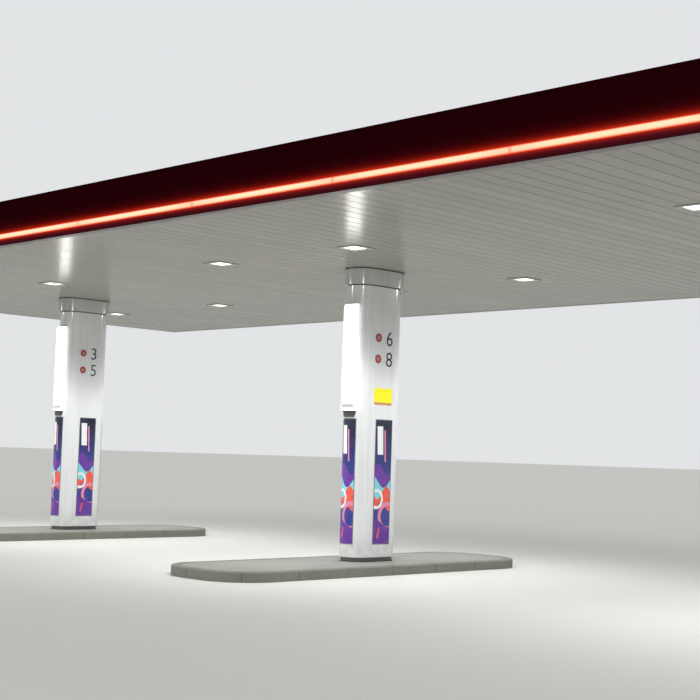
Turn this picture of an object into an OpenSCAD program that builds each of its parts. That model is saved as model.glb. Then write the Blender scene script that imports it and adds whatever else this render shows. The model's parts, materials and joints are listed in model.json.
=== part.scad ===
// Filling station canopy on one row of three columns. Millimetres.
// X runs along the front fascia, Y from front to back, Z up from the ground.

/* [Canopy] */
// Distance from the left column's centre to the middle one's
left_bay = 8130; // [7000:10:9000]
// Distance from the middle column's centre to the right one's
right_bay = 8855; // [7000:5:9400]
// Soffit beyond an outer column's centre
end_overhang = 3970; // [3000:10:4800]
// Soffit from front to back
soffit_depth = 10260; // [9400:10:12000]
// Height of the soffit above the ground
clear_height = 4730; // [4460:10:5500]
// How far the column row stands in front of the canopy's centre line
column_forward = 220; // [0:5:400]

/* [Fascia] */
// Top of the fascia above the soffit
fascia_height = 665; // [620:5:900]
// How far the fascia stands outside the soffit's edge
fascia_reach = 192; // [170:2:260]
// How far the fascia's top leans back
fascia_lean = 55; // [30:5:80]
// Lower edge of the light strip above the soffit
strip_rise = 78; // [60:2:100]
// Height of the light strip
strip_height = 80; // [60:2:100]
// How far the light strip stands proud of the fascia
strip_proud = 14; // [8:1:24]
// Length of one light strip cover
strip_length = 2500; // [2000:50:3000]
// Length of the first cover from a corner
first_strip = 1310; // [600:10:2200]
// Gap between two covers
strip_gap = 3; // [2:1:6]
// Depth of the tray behind the light strip
tray_depth = 60; // [40:5:80]
// Width of the flat trim outside the soffit boards
trim_width = 128; // [110:2:150]
// Thickness of the fascia sheet
fascia_sheet = 4; // [3:1:6]
// Thickness of folded aluminium sheet
folded_sheet = 3; // [2:1:4]
// Overhang of the cap past the fascia's top
cap_overhang = 8; // [8:1:14]
// Depth of the cap's outer drip
cap_drip = 30; // [15:1:34]
// Largest distance between the formers behind the fascia
former_spacing = 2000; // [1500:50:2500]
// Thickness of a former
former_thickness = 6; // [5:1:10]

/* [Soffit] */
// Width of a soffit board
board_width = 250; // [200:10:300]
// Thickness of a soffit board
board_depth = 16; // [14:1:20]
// Width of the joint between boards
joint_width = 10; // [6:1:16]
// Depth of the joint between boards
joint_depth = 8; // [5:1:10]
// Downlight outside an outer column to that column's centre, along the fascia
light_x_outside = 1640; // [1300:10:2000]
// Downlight inside an outer column to that column's centre, along the fascia
light_x_inside = 1890; // [1300:10:2000]
// Downlight to the middle column's centre, along the fascia
light_x_middle = 1480; // [1300:10:2000]
// Downlight to its column's centre, from front to back
light_y = 1970; // [1500:10:2300]
// Side of a downlight's rim
light_rim = 400; // [380:5:440]
// Side of a downlight's glass
light_glass = 298; // [280:2:310]
// Depth of a downlight's housing above the soffit
light_depth = 110; // [80:5:140]
// Thickness of a downlight's rim
rim_thickness = 10; // [6:1:14]

/* [Columns] */
// Radius of a column's rounded ends
nose_radius = 258; // [250:1:310]
// Flat length of a column's sides
flat_length = 490; // [440:10:560]
// Thickness of the column's sheet
column_sheet = 4; // [3:1:6]
// Height of the collar under the soffit
collar_height = 260; // [200:10:400]
// How far the collar stands proud of the column
collar_proud = 44; // [36:2:70]
// Shadow gap under the collar
collar_gap = 18; // [10:1:30]
// Height of the dark plinth
plinth_height = 70; // [50:5:120]
// How far the plinth is set back
plinth_inset = 25; // [15:1:35]
// Width of the steel post, along the fascia
post_width = 200; // [160:10:240]
// Depth of the steel post, from front to back
post_depth = 400; // [300:10:440]

/* [Light boxes] */
// Gap between the front poster and the bracket under the light box
bracket_gap = 20; // [10:5:200]
// Height of a light box
box_height = 1690; // [1300:10:1900]
// Depth of a light box in front of the nose
box_depth = 55; // [45:1:80]
// Depth of a light box at its top
box_top_depth = 38; // [20:1:44]
// Half of the angle that a light box covers round the nose
box_angle = 29; // [24:1:36]
// Height over which the cover curves back at its top
box_curve = 100; // [60:10:300]
// Height of the bracket under a light box
bracket_height = 90; // [60:5:140]

/* [Posters and plates] */
// Lower edge of the posters above the island
poster_bottom = 270; // [150:5:400]
// Height of the posters
poster_height = 1950; // [1700:5:2060]
// Width of the posters on the flat sides
poster_width = 380; // [300:5:400]
// How far the posters on the flat sides stand to the right of the middle, as they are read
poster_shift = 40; // [0:5:40]
// Half of the angle that the posters on the noses cover
poster_angle = 33; // [20:1:36]
// Thickness of posters and plates
plate_thickness = 4; // [3:1:8]
// Lower edge of the coloured plates on the middle column, above the island
plate_bottom = 2490; // [2250:10:2600]
// Height of the coloured plates
plate_height = 220; // [200:5:300]
// Width of the coloured plates
plate_width = 400; // [300:5:420]

/* [Islands] */
// Height of the islands
island_height = 140; // [110:5:180]
// Width of an island
island_width = 1860; // [1600:10:2400]
// Island in front of its column's centre
island_front = 3500; // [3000:10:4200]
// Island behind its column's centre
island_back = 3000; // [2400:10:3600]
// Radius of an island's corners
island_corner = 700; // [400:10:850]
// Width of the kerb
kerb_width = 150; // [120:5:200]
// Chamfer of the kerb's upper edge
kerb_chamfer = 14; // [8:1:24]

/* [Roof frame] */
// Depth of a beam at the ridge
beam_depth = 380; // [340:5:400]
// Width of a beam
beam_width = 200; // [160:10:240]
// Thickness of a beam's flange
flange_thickness = 16; // [12:1:20]
// Fall of the roof in degrees
roof_fall = 1.05; // [0.8:0.05:1.3]
// Height of a purlin
purlin_height = 120; // [100:5:130]
// Purlins on each slope
purlin_count = 5; // [4:1:7]
// Height of the ceiling rails
rail_height = 40; // [30:1:50]
// Width of the ceiling rails
rail_width = 40; // [30:1:60]
// Height of the edge beams
edge_beam_height = 200; // [160:5:240]
// Width of the edge beams
edge_beam_width = 80; // [60:5:100]
// Pitch of the roof deck's ribs
rib_pitch = 333; // [300:1:360]
// Height of the roof deck's ribs
rib_height = 40; // [30:1:45]
// Width of a rib's top
rib_top = 100; // [80:5:120]
// Width of a gutter
gutter_width = 200; // [160:5:240]
// Depth of a gutter
gutter_depth = 115; // [80:5:120]

/* [Hidden] */
$fn = 96;

half_length = (left_bay + right_bay) / 2 + end_overhang;
half_depth = soffit_depth / 2;
column_x = [end_overhang - half_length, end_overhang + left_bay - half_length,
    half_length - end_overhang];
column_y = -column_forward;
strip_top = strip_rise + strip_height;

// Column heights, above the ground
shaft_bottom = island_height + plinth_height;
shaft_top = clear_height - collar_height - collar_gap;
neck_clearance = 2;
neck_radius = nose_radius - column_sheet - neck_clearance;
neck_drop = collar_gap + 40;
plinth_wall = 35;
base_plate = [post_width + 120, post_depth + 200, 30];
post_web = 12;
cap_plate = 25;
base_return = plinth_inset + plinth_wall;

// Light boxes and downlights
box_bottom = island_height + poster_bottom + poster_height + bracket_gap + bracket_height;
box_back = 12;
box_cap = 10;
cover_steps = 5;
bracket_depth = 20;
bracket_taper = 28;
light_wall = 16;
glass_clearance = 1;
opening_clearance = 5;
light_body = light_glass + 2 * (glass_clearance + light_wall);
light_opening = light_body + 2 * opening_clearance;
column_opening = nose_radius + collar_proud / 2;
// Rows of downlights beside each column, from its centre along the fascia
light_rows = [
    [-light_x_outside, light_x_inside], [-light_x_middle, light_x_middle],
    [-light_x_inside, light_x_outside]];

// Heights in the roof, above the soffit
beam_bottom = board_depth + rail_height;
ridge_height = beam_bottom + beam_depth;
beam_tip = half_depth - edge_beam_width;
eaves_clearance = 10;
beam_notch = half_depth - gutter_width - eaves_clearance;
gutter_bottom = ridge_height - beam_notch * tan(roof_fall) - flange_thickness;
purlin_sheet = 3;
purlin_flange = 50;
deck_sheet = 3;
ridge_cap_width = 180;
beam_web = 10;
ridge_clearance = 1;
rail_edge = 120;
rail_inner = nose_radius + flat_length / 2 + 170;
rail_outer = light_y + light_opening / 2 + 130;
deck_ribs = round(2 * half_length / rib_pitch);
deck_pitch = 2 * half_length / deck_ribs;
rib_side = 30;
outlet_radius = 48;
outlet_offset = 250;
outlet_drop = gutter_bottom - beam_bottom - edge_beam_height - eaves_clearance;

// The fascia is an arc that is upright at the top of the light strip
arc_rise = fascia_height - strip_top;
arc_radius = (pow(arc_rise, 2) + pow(fascia_lean, 2)) / (2 * fascia_lean);
fascia_top_reach = fascia_reach - fascia_lean;
// Width of the chin's sheet where it meets the level trim
chin_run = fascia_reach - trim_width;
chin_wall = folded_sheet * norm([chin_run, strip_rise]) / strip_rise;
tray_back = fascia_reach - tray_depth;

// Plan of a column: two half circles joined by straight sides
module stadium(radius) {
    square([2 * radius, flat_length], center = true);
    for (side = [-1, 1]) translate([0, side * flat_length / 2]) circle(r = radius);
}

module stadium_ring(radius, wall) {
    difference() {
        stadium(radius);
        stadium(radius - wall);
    }
}

module at_columns() {
    for (x = column_x) translate([x, column_y, 0]) children();
}

// A column's rounded ends: the children are drawn round the nose's own axis, facing -Y
module at_front_nose() { translate([0, -flat_length / 2, 0]) children(); }
module at_noses() {
    for (turn = [0, 180]) rotate([0, 0, turn]) at_front_nose() children();
}

// A profile with X outwards and Y upwards from the soffit's edge, run along one side
// and mitred at both corners
module edge_run(half_run, half_offset) {
    corner = 300;
    inner = 200;
    intersection() {
        translate([-half_run - corner, half_offset, clear_height])
            rotate([90, 0, 90]) linear_extrude(2 * (half_run + corner)) children();
        linear_extrude(clear_height + fascia_height + corner) polygon([
            [-half_run + inner, half_offset - inner], [half_run - inner, half_offset - inner],
            [half_run + corner, half_offset + corner], [-half_run - corner, half_offset + corner]]);
    }
}

module back_side() { edge_run(half_length, half_depth) children(); }
module front_side() { rotate([0, 0, 180]) edge_run(half_length, half_depth) children(); }
module left_side() { rotate([0, 0, 90]) edge_run(half_depth, half_length) children(); }
module right_side() { rotate([0, 0, -90]) edge_run(half_depth, half_length) children(); }

module long_sides() {
    front_side() children();
    back_side() children();
}

module end_sides() {
    left_side() children();
    right_side() children();
}

// Islands: a chamfered kerb round a concrete top
module rounded_plan(width, front, back, corner) {
    difference() {
        translate([-width / 2, -front]) square([width, front + back]);
        for (side = [-1, 1], y = [corner - front, back - corner])
            translate([side * (width / 2 - corner), y]) difference() {
                translate([side > 0 ? 0 : -corner - 1, y > 0 ? 0 : -corner - 1])
                    square(corner + 1);
                circle(r = corner);
            }
    }
}

module chamfered_slab(width, front, back, corner, height, chamfer) {
    length = front + back;
    linear_extrude(height - chamfer) rounded_plan(width, front, back, corner);
    translate([0, (back - front) / 2, height - chamfer]) {
        rotate([90, 0, 0]) linear_extrude(length - 2 * corner, center = true) polygon([
            [-width / 2, 0], [width / 2, 0], [width / 2 - chamfer, chamfer],
            [chamfer - width / 2, chamfer]]);
        rotate([90, 0, 90]) linear_extrude(width - 2 * corner, center = true) polygon([
            [-length / 2, 0], [length / 2, 0], [length / 2 - chamfer, chamfer],
            [chamfer - length / 2, chamfer]]);
        for (x = [-1, 1], y = [-1, 1])
            translate([x * (width / 2 - corner), y * (length / 2 - corner), 0])
                cylinder(r1 = corner, r2 = corner - chamfer, h = chamfer);
    }
}

module island_kerb(x) {
    color("lightgray") translate([x, column_y, 0]) difference() {
        chamfered_slab(island_width, island_front, island_back, island_corner,
            island_height, kerb_chamfer);
        translate([0, 0, -1]) linear_extrude(island_height + 2)
            rounded_plan(island_width - 2 * kerb_width, island_front - kerb_width,
                island_back - kerb_width, island_corner - kerb_width);
    }
}

module island_top(x) {
    joint_chamfer = 6;
    color("gainsboro") translate([x, column_y, 0])
        chamfered_slab(island_width - 2 * kerb_width, island_front - kerb_width,
            island_back - kerb_width, island_corner - kerb_width, island_height, joint_chamfer);
}

// Columns: a steel post inside sheet cladding, with a plinth below and a collar above
module steel_posts() {
    post_top = clear_height + beam_bottom;
    flange = flange_thickness;
    color("gray") at_columns() {
        translate([-base_plate.x / 2, -base_plate.y / 2, island_height]) cube(base_plate);
        translate([-post_web / 2, -post_depth / 2, island_height])
            cube([post_web, post_depth, post_top - island_height]);
        for (side = [-1, 1])
            translate([-post_width / 2, side * (post_depth - flange) / 2 - flange / 2, island_height])
                cube([post_width, flange, post_top - island_height]);
        translate([-post_width / 2, -post_depth / 2, post_top - cap_plate])
            cube([post_width, post_depth, cap_plate]);
    }
}

module column_plinths() {
    color("dimgray") at_columns() translate([0, 0, island_height])
        linear_extrude(plinth_height) stadium_ring(nose_radius - plinth_inset, plinth_wall);
}

module column_cladding(x) {
    color("silver") translate([x, column_y, shaft_bottom]) {
        linear_extrude(shaft_top - shaft_bottom) stadium_ring(nose_radius, column_sheet);
        linear_extrude(column_sheet) stadium_ring(nose_radius, base_return);
    }
}

module column_collars() {
    outer = nose_radius + collar_proud;
    color("silver") at_columns() translate([0, 0, clear_height - collar_height]) {
        linear_extrude(collar_height) stadium_ring(outer, column_sheet);
        linear_extrude(column_sheet) stadium_ring(outer, outer - neck_radius + column_sheet);
        translate([0, 0, -neck_drop])
            linear_extrude(neck_drop + column_sheet) stadium_ring(neck_radius, column_sheet);
    }
}

// Light boxes round the front noses: a metal back with end caps, and a cover that curves back
// on top
// A profile of radius and height, turned through an angle each side of the nose's front
module nose_sweep(half_angle) {
    rotate([0, 0, -90 - half_angle]) rotate_extrude(angle = 2 * half_angle) children();
}

function box_radius(height) = nose_radius + box_depth - (box_depth - box_top_depth)
    * pow(max(0, (height - box_height + box_curve) / box_curve), 2);

// Outline of the light box from its lower end up to a height, in radius and height
function box_outline(from, to) = concat(
    [[nose_radius + box_back, from], [box_radius(from), from]],
    [for (step = [0:cover_steps])
        let (h = box_height - box_curve + step * (to - box_height + box_curve) / cover_steps)
        [box_radius(h), h]],
    [[nose_radius + box_back, to]]);

module light_box(x) {
    cap_radius = box_radius(box_height - box_cap);
    bracket_head = (nose_radius + bracket_depth) * sin(box_angle);
    bracket_foot = bracket_head - bracket_taper;
    color("whitesmoke") translate([x, column_y, box_bottom]) at_front_nose() {
        nose_sweep(box_angle) translate([nose_radius, 0]) square([box_back, box_height]);
        nose_sweep(box_angle) translate([nose_radius, 0]) square([box_depth, box_cap]);
        nose_sweep(box_angle) translate([nose_radius, box_height - box_cap])
            square([cap_radius - nose_radius, box_cap]);
        intersection() {
            nose_sweep(box_angle) translate([nose_radius, -bracket_height])
                square([bracket_depth, bracket_height]);
            translate([0, 0, -bracket_height]) rotate([90, 0, 0])
                linear_extrude(2 * nose_radius) polygon([
                    [-bracket_foot, 0], [bracket_foot, 0],
                    [bracket_head, bracket_height], [-bracket_head, bracket_height]]);
        }
    }
}

module light_box_covers() {
    color("white") at_columns() translate([0, 0, box_bottom]) at_front_nose()
        nose_sweep(box_angle) polygon(box_outline(box_cap, box_height - box_cap));
}

module poster_panels() {
    color("midnightblue") at_columns() translate([0, 0, island_height + poster_bottom]) {
        at_noses() nose_sweep(poster_angle) translate([nose_radius, 0])
            square([plate_thickness, poster_height]);
        for (turn = [0, 180]) rotate([0, 0, turn])
            translate([nose_radius, poster_shift - poster_width / 2, 0])
                cube([plate_thickness, poster_width, poster_height]);
    }
}

// Coloured plates on the two flat sides of the middle column
module coloured_plates() {
    color("yellow") translate([column_x[1], column_y, 0])
        for (side = [-1, 1])
            translate([side * (nose_radius + plate_thickness / 2), 0,
                island_height + plate_bottom + plate_height / 2])
                cube([plate_thickness, plate_width, plate_height], center = true);
}

// Soffit: long metal boards from front to back, cut round the columns and the downlights
module at_lights(column) {
    for (x = light_rows[column], y = [-light_y, light_y])
        translate([column_x[column] + x, column_y + y, clear_height]) children();
}

module at_all_lights() {
    for (column = [0:2]) at_lights(column) children();
}

module soffit_panel(column) {
    x_from = column == 0 ? -half_length : (column_x[column - 1] + column_x[column]) / 2;
    x_to = column == 2 ? half_length : (column_x[column] + column_x[column + 1]) / 2;
    width = x_to - x_from;
    boards = round(width / board_width);
    pitch = width / boards;
    color("gainsboro") difference() {
        translate([x_from, half_depth, clear_height]) rotate([90, 0, 0])
            linear_extrude(soffit_depth) difference() {
                square([width, board_depth]);
                for (i = [0:boards]) translate([i * pitch - joint_width / 2, -1])
                    square([joint_width, joint_depth + 1]);
            }
        translate([column_x[column], column_y, clear_height - 1])
            linear_extrude(board_depth + 2) stadium(column_opening);
        at_lights(column) cube([light_opening, light_opening, 3 * board_depth], center = true);
    }
}

module downlight_rims() {
    glass_ledge = 9;
    lid = 4;
    mouth = light_glass - 2 * glass_ledge;
    hollow = light_glass + 2 * glass_clearance;
    color("whitesmoke") at_all_lights() difference() {
        union() {
            translate([-light_rim / 2, -light_rim / 2, -rim_thickness])
                cube([light_rim, light_rim, rim_thickness]);
            translate([-light_body / 2, -light_body / 2, -rim_thickness])
                cube([light_body, light_body, light_depth + rim_thickness]);
        }
        translate([-mouth / 2, -mouth / 2, -rim_thickness - 1])
            cube([mouth, mouth, rim_thickness + 2]);
        translate([-hollow / 2, -hollow / 2, 0]) cube([hollow, hollow, light_depth - lid]);
    }
}

module downlight_glasses() {
    thickness = 6;
    color("white") at_all_lights()
        translate([-light_glass / 2, -light_glass / 2, 0]) cube([light_glass, light_glass, thickness]);
}

// Fascia, from the flat trim outwards and up
module trim_profile() {
    square([trim_width - chin_wall, folded_sheet]);
}

// The sloping chin and the tray of the light strip are one folded piece
module tray_profile() {
    polygon([
        [trim_width, 0], [fascia_reach, strip_rise], [tray_back, strip_rise],
        [tray_back, strip_top], [fascia_reach, strip_top],
        [fascia_reach, strip_top + folded_sheet],
        [tray_back - folded_sheet, strip_top + folded_sheet],
        [tray_back - folded_sheet, strip_rise - folded_sheet],
        [fascia_reach - chin_wall - folded_sheet * chin_run / strip_rise, strip_rise - folded_sheet],
        [trim_width - chin_wall, 0]]);
}

module strip_profile() {
    seat = 6;
    bulge = strip_proud + seat;
    radius = (pow(strip_height / 2, 2) + pow(bulge, 2)) / (2 * bulge);
    intersection() {
        translate([fascia_reach - seat, strip_rise]) square([bulge, strip_height]);
        translate([fascia_reach + strip_proud - radius, strip_rise + strip_height / 2])
            circle(r = radius);
    }
}

module arc_band(outer, inner, from, to) {
    intersection() {
        translate([fascia_reach - arc_radius, strip_top]) difference() {
            circle(r = outer, $fn = 720);
            circle(r = inner, $fn = 720);
        }
        translate([0, from]) square([fascia_reach + 1, to - from]);
    }
}

module fascia_profile() {
    arc_band(arc_radius, arc_radius - fascia_sheet, strip_top + folded_sheet, fascia_height);
}

module cap_profile() {
    reach = fascia_top_reach + cap_overhang + folded_sheet;
    upstand_foot = gutter_bottom + 15;
    translate([0, upstand_foot]) square([folded_sheet, fascia_height - upstand_foot + folded_sheet]);
    translate([0, fascia_height]) square([reach, folded_sheet]);
    translate([reach - folded_sheet, fascia_height - cap_drip])
        square([folded_sheet, cap_drip + folded_sheet]);
}

module strip_covers(half_run, half_offset) {
    corner = half_run + fascia_reach;
    covers = floor((2 * corner - first_strip) / strip_length);
    difference() {
        edge_run(half_run, half_offset) strip_profile();
        for (i = [0:covers])
            translate([first_strip + i * strip_length - corner, half_offset, clear_height])
                cube([strip_gap, 3 * fascia_reach, 3 * fascia_height], center = true);
    }
}

module light_strip_long() {
    color("lightsalmon") for (turn = [0, 180]) rotate([0, 0, turn])
        strip_covers(half_length, half_depth);
}

module light_strip_ends() {
    color("lightsalmon") for (turn = [90, 270]) rotate([0, 0, turn])
        strip_covers(half_depth, half_length);
}

module fascia_front() { color("maroon") front_side() fascia_profile(); }
module fascia_back() { color("maroon") back_side() fascia_profile(); }
module fascia_left() { color("maroon") left_side() fascia_profile(); }
module fascia_right() { color("maroon") right_side() fascia_profile(); }

// Upright plates that hold the fascia, the tray and the trim off the edge beams
module former_profile() {
    clearance = 2;
    shoulder = fascia_height - cap_drip - 40;
    step = beam_bottom + edge_beam_height;
    waist = tray_back - folded_sheet;
    polygon([
        [0, folded_sheet], [trim_width - chin_wall - clearance, folded_sheet],
        [waist, strip_rise - folded_sheet], [waist, shoulder],
        [folded_sheet, shoulder], [folded_sheet, step], [0, step]]);
    arc_band(arc_radius - fascia_sheet, arc_radius - fascia_reach, strip_top + folded_sheet,
        fascia_height);
}

module former_row(half_run, half_offset) {
    bays = ceil(2 * half_run / former_spacing);
    pitch = 2 * half_run / bays;
    for (i = [0:bays - 1])
        translate([(i + 0.5) * pitch - half_run - former_thickness / 2, half_offset, clear_height])
            rotate([90, 0, 90]) linear_extrude(former_thickness) intersection() {
                former_profile();
                square([fascia_reach, fascia_height]);
            }
}

module fascia_formers() {
    color("gray") {
        for (turn = [0, 180]) rotate([0, 0, turn]) former_row(half_length, half_depth);
        for (turn = [90, 270]) rotate([0, 0, turn]) former_row(half_depth, half_length);
    }
}

// Roof frame
// A square tube along X, from its lower front corner
module square_tube(length, width, height, wall) {
    rotate([90, 0, 90]) linear_extrude(length) difference() {
        square([width, height]);
        translate([wall, wall]) square([width - 2 * wall, height - 2 * wall]);
    }
}

module edge_beams() {
    corner_gap = 2;
    wall = 6;
    end_run = soffit_depth - 2 * (edge_beam_width + corner_gap);
    color("gray") translate([0, 0, clear_height + beam_bottom]) for (turn = [0, 180])
        rotate([0, 0, turn]) {
            translate([-half_length, half_depth - edge_beam_width, 0])
                square_tube(2 * half_length, edge_beam_width, edge_beam_height, wall);
            translate([half_length, -end_run / 2, 0]) rotate([0, 0, 90])
                square_tube(end_run, edge_beam_width, edge_beam_height, wall);
        }
}

module ceiling_rails() {
    wall = 3;
    color("gray") for (side = [-1, 1]) {
        edge = side * (half_depth - rail_edge);
        outer = column_y + side * rail_outer;
        for (y = [column_y + side * rail_inner, outer, (outer + edge) / 2, edge])
            translate([-half_length, y - rail_width / 2, clear_height + board_depth])
                square_tube(2 * half_length, rail_width, rail_height, wall);
    }
}

// Two slopes that fall from the ridge; the children lie on the back slope, in its own plane
module both_slopes() {
    for (side = [0, 1]) mirror([0, side, 0]) on_slope() children();
}

module on_slope() {
    translate([0, 0, clear_height + ridge_height]) rotate([-roof_fall, 0, 0]) children();
}

module cantilever_beams() {
    shoulder = ridge_height - beam_notch * tan(roof_fall);
    color("gray") for (x = column_x) translate([x, 0, 0]) {
        translate([-beam_web / 2, 0, clear_height]) rotate([90, 0, 90])
            linear_extrude(beam_web) polygon([
                [-beam_tip, beam_bottom], [beam_tip, beam_bottom], [beam_tip, gutter_bottom],
                [beam_notch, gutter_bottom], [beam_notch, shoulder - ridge_clearance],
                [0, ridge_height - ridge_clearance],
                [-beam_notch, shoulder - ridge_clearance], [-beam_notch, gutter_bottom],
                [-beam_tip, gutter_bottom]]);
        translate([-beam_width / 2, -beam_tip, clear_height + beam_bottom])
            cube([beam_width, 2 * beam_tip, flange_thickness]);
        both_slopes() translate([-beam_width / 2, 0, -flange_thickness])
            cube([beam_width, beam_notch / cos(roof_fall), flange_thickness]);
        for (side = [-1, 1])
            translate([-beam_width / 2, side > 0 ? beam_notch : -beam_tip,
                clear_height + gutter_bottom - flange_thickness])
                cube([beam_width, beam_tip - beam_notch, flange_thickness]);
    }
}

module purlins() {
    first = 150;
    eaves_margin = 60;
    end_clearance = 10;
    last = beam_notch - purlin_flange - eaves_margin;
    length = 2 * (half_length - end_clearance);
    color("lightslategray") both_slopes() for (i = [0:purlin_count - 1])
        translate([-length / 2, first + i * (last - first) / (purlin_count - 1), 0])
            rotate([90, 0, 90]) linear_extrude(length) difference() {
                square([purlin_flange, purlin_height]);
                translate([purlin_sheet, purlin_sheet])
                    square([purlin_flange, purlin_height - 2 * purlin_sheet]);
            }
}

// Line of the ribbed deck from end to end, lifted by the sheet's thickness for its upper side
function deck_line(lift) = concat(
    [[-half_length, lift]],
    [for (i = [0:deck_ribs - 1]) let (middle = -half_length + (i + 0.5) * deck_pitch)
        each [[middle - rib_top / 2 - rib_side, lift], [middle - rib_top / 2, lift + rib_height],
            [middle + rib_top / 2, lift + rib_height], [middle + rib_top / 2 + rib_side, lift]]],
    [[half_length, lift]]);
function reversed(list) = [for (i = [len(list) - 1:-1:0]) list[i]];

module roof_deck() {
    ridge_gap = 5;
    eaves_overlap = 50;
    eaves = (half_depth - gutter_width + eaves_overlap) / cos(roof_fall);
    color("lightsteelblue") on_slope() translate([0, eaves, purlin_height]) rotate([90, 0, 0])
        linear_extrude(eaves - ridge_gap) polygon(concat(deck_line(0), reversed(deck_line(deck_sheet))));
}

module roof_deck_back() { roof_deck(); }
module roof_deck_front() { mirror([0, 1, 0]) roof_deck(); }

module ridge_cap() {
    color("lightsteelblue") both_slopes()
        translate([-half_length, 0, purlin_height + rib_height + deck_sheet])
            cube([2 * half_length, ridge_cap_width, deck_sheet]);
}

module at_outlets() {
    for (x = column_x, side = [-1, 1])
        translate([x + outlet_offset, side * (half_depth - gutter_width / 2),
            clear_height + gutter_bottom]) children();
}

module roof_gutters() {
    inner = gutter_width - 2 * folded_sheet;
    color("lightsteelblue") difference() {
        for (side = [-1, 1])
            translate([-half_length, side > 0 ? half_depth - gutter_width : -half_depth,
                clear_height + gutter_bottom]) difference() {
                cube([2 * half_length, gutter_width, gutter_depth]);
                translate([folded_sheet, folded_sheet, folded_sheet])
                    cube([2 * (half_length - folded_sheet), inner, gutter_depth]);
            }
        at_outlets() cylinder(r = outlet_radius, h = 3 * folded_sheet, center = true);
    }
}

module gutter_outlets() {
    pipe_wall = 4;
    flange_sheet = 3;
    flange_radius = outlet_radius + 25;
    color("dimgray") at_outlets() difference() {
        union() {
            translate([0, 0, folded_sheet]) cylinder(r = flange_radius, h = flange_sheet);
            translate([0, 0, -outlet_drop])
                cylinder(r = outlet_radius, h = outlet_drop + folded_sheet + 1);
        }
        translate([0, 0, -outlet_drop - 1])
            cylinder(r = outlet_radius - pipe_wall, h = outlet_drop + 20);
    }
}

island_kerb(column_x[0]);  // island_kerb_left
island_kerb(column_x[1]);  // island_kerb_middle
island_kerb(column_x[2]);  // island_kerb_right
island_top(column_x[0]);  // island_top_left
island_top(column_x[1]);  // island_top_middle
island_top(column_x[2]);  // island_top_right
steel_posts();
column_plinths();
column_cladding(column_x[0]);  // column_cladding_left
column_cladding(column_x[1]);  // column_cladding_middle
column_cladding(column_x[2]);  // column_cladding_right
column_collars();
light_box(column_x[0]);  // light_box_left
light_box(column_x[1]);  // light_box_middle
light_box(column_x[2]);  // light_box_right
light_box_covers();
poster_panels();
coloured_plates();
soffit_panel(0);  // soffit_left
soffit_panel(1);  // soffit_middle
soffit_panel(2);  // soffit_right
color("lightgray") long_sides() trim_profile();  // soffit_trim_long
color("lightgray") end_sides() trim_profile();  // soffit_trim_ends
downlight_rims();
downlight_glasses();
color("maroon") long_sides() tray_profile();  // strip_tray_long
color("maroon") end_sides() tray_profile();  // strip_tray_ends
light_strip_long();
light_strip_ends();
fascia_front();
fascia_back();
fascia_left();
fascia_right();
color("darkred") long_sides() cap_profile();  // parapet_cap_long
color("darkred") end_sides() cap_profile();  // parapet_cap_ends
fascia_formers();
edge_beams();
ceiling_rails();
cantilever_beams();
purlins();
roof_deck_front();
roof_deck_back();
ridge_cap();
roof_gutters();
gutter_outlets();
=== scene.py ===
import bmesh
import bpy
import json
import numpy as np
from math import cos, floor, pi, radians, sin, tau
from mathutils import Matrix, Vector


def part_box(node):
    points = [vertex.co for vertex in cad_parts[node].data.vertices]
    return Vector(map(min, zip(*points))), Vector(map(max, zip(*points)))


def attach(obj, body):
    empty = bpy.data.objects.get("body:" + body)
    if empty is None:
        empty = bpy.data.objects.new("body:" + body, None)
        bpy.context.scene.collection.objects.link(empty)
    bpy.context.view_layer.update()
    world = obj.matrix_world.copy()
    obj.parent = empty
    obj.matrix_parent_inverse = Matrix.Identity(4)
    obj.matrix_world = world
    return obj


# Filling station canopy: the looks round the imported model, in metres
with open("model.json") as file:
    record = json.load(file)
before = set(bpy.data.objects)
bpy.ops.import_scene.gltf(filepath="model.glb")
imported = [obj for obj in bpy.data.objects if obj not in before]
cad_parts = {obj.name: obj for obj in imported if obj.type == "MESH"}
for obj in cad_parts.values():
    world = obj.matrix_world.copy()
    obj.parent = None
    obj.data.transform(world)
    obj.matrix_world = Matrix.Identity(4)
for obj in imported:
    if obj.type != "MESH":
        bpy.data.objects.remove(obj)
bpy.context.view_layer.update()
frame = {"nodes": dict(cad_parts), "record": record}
nodes = frame["nodes"]
scene = bpy.context.scene
print("frame loaded:", len(nodes), "nodes")


# Reading places from the model
def boxOf(node):
    # the low and the high corner of a node's box
    low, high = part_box(node)
    return np.array(low), np.array(high)


def meshPoints(mesh):
    # all corners of a mesh as rows of x, y, z
    flat = np.zeros(len(mesh.vertices) * 3)
    mesh.vertices.foreach_get("co", flat)
    return flat.reshape(-1, 3)


bays = ("left", "middle", "right")
columns = []                                # centre of each column in plan
for bay in bays:
    low, high = boxOf("column_cladding_" + bay)
    columns.append(((low + high) / 2)[:2])
low, high = boxOf("column_cladding_middle")
noseRadius = (high[0] - low[0]) / 2
noseCentre = (high[1] - low[1]) / 2 - noseRadius    # from the column's centre to a nose's axis
shaftBottom, shaftTop = low[2], high[2]
soffitHeight = boxOf("soffit_middle")[0][2]
stripLow, stripHigh = boxOf("light_strip_long")
islandTop = boxOf("island_top_middle")[1][2]


# Shapes: every piece is a grid of points, or several of them
def gridFaces(rows, columnsInRow, wrap, start):
    # each cell between four neighbouring points becomes one quad
    r = np.arange(rows - 1)[:, None]
    c = np.arange(columnsInRow if wrap else columnsInRow - 1)[None, :]
    after = (c + 1) % columnsInRow
    quads = np.stack([r * columnsInRow + c, r * columnsInRow + after,
                      (r + 1) * columnsInRow + after, (r + 1) * columnsInRow + c], -1)
    return quads.reshape(-1, 4) + start


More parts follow.
